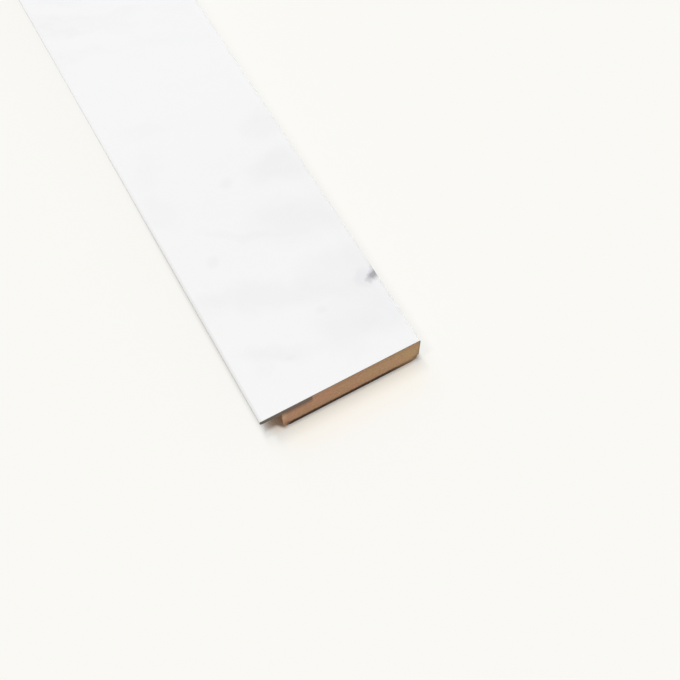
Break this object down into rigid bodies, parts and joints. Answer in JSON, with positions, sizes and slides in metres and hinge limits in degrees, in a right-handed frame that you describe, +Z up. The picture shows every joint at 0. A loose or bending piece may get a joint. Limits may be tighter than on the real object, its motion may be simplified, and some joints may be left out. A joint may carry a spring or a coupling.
{
  "type": "skirting board",
  "caption": "Length of skirting board: fibreboard core wrapped in pale marble-look foil, with a flexible sealing lip along its floor edge and a flat back.",
  "frame": {"origin": "middle of the footprint, on the surface that the back of the board rests on", "axes": "+X along the board, +Y across it from the lip to the top edge, +Z up from the back to the decorated face"},
  "size_m": [2.4, 0.06, 0.014],
  "materials": {
    "fibreboard": "sawn medium-density fibreboard, matte brown",
    "lip": "dark grey flexible strip, matte",
    "foil": "printed white marble-look film, satin"
  },
  "bodies": {
    "root": {"fibreboard_core": "fibreboard", "sealing_lip": "lip", "decor_foil": "foil"}
  },
  "joints": []
}
